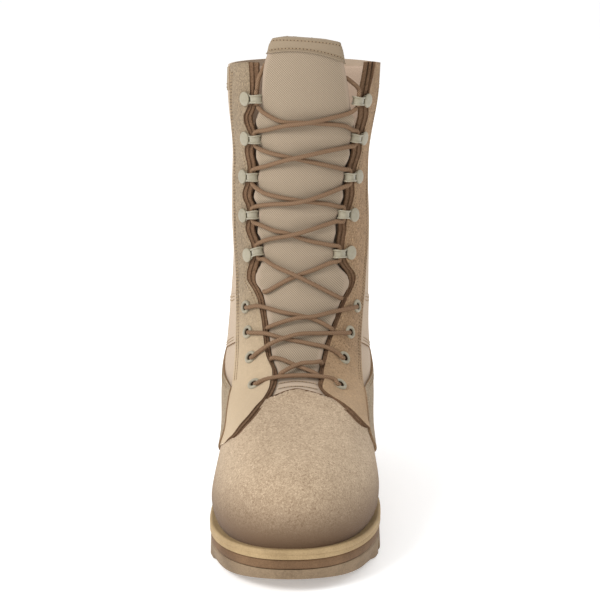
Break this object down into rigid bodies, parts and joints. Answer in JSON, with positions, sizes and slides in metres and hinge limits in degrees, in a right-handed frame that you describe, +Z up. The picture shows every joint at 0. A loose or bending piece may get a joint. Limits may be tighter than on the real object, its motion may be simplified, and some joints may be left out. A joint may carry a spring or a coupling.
{
  "type": "combat boot",
  "caption": "Tall tan desert combat boot, left, with suede and nylon upper, closed speed hooks, round lace and rippled wedge sole.",
  "frame": {"origin": "on the ground, below the middle of the sole's length and width", "axes": "+Z up, the toe points to -Y, +X is the wearer's left, which is this left boot's outer side"},
  "size_m": [0.1126, 0.304, 0.3193],
  "materials": {
    "suede": "rough-out tan suede, napped, matt",
    "nylon": "coarse woven tan nylon over padding",
    "outsole_rubber": "tan rubber, matt, rippled tread",
    "midsole_rubber": "brown rubber, matt",
    "insole_foam": "cloth-covered foam board",
    "painted_metal": "pale olive-cream enamel",
    "lace_cord": "round braided brown-tan cord"
  },
  "bodies": {
    "root": {"outsole": "outsole_rubber", "midsole": "midsole_rubber", "welt": "outsole_rubber", "insole": "insole_foam", "upper": "suede", "tongue": "nylon", "eyelet_medial_1": "painted_metal", "eyelet_medial_2": "painted_metal", "eyelet_medial_3": "painted_metal", "eyelet_medial_4": "painted_metal", "eyelet_lateral_1": "painted_metal", "eyelet_lateral_2": "painted_metal", "eyelet_lateral_3": "painted_metal", "eyelet_lateral_4": "painted_metal", "hook_medial_1": "painted_metal", "hook_medial_2": "painted_metal", "hook_medial_3": "painted_metal", "hook_medial_4": "painted_metal", "hook_medial_5": "painted_metal", "hook_lateral_1": "painted_metal", "hook_lateral_2": "painted_metal", "hook_lateral_3": "painted_metal", "hook_lateral_4": "painted_metal", "hook_lateral_5": "painted_metal", "lace_crossing_1": "lace_cord", "lace_crossing_2": "lace_cord", "lace_crossing_3": "lace_cord", "lace_crossing_4": "lace_cord", "lace_crossing_5": "lace_cord", "lace_crossing_6": "lace_cord", "lace_crossing_7": "lace_cord", "lace_crossing_8": "lace_cord", "lace_bar": "lace_cord", "lace_end_medial": "lace_cord", "lace_end_lateral": "lace_cord"}
  },
  "joints": []
}
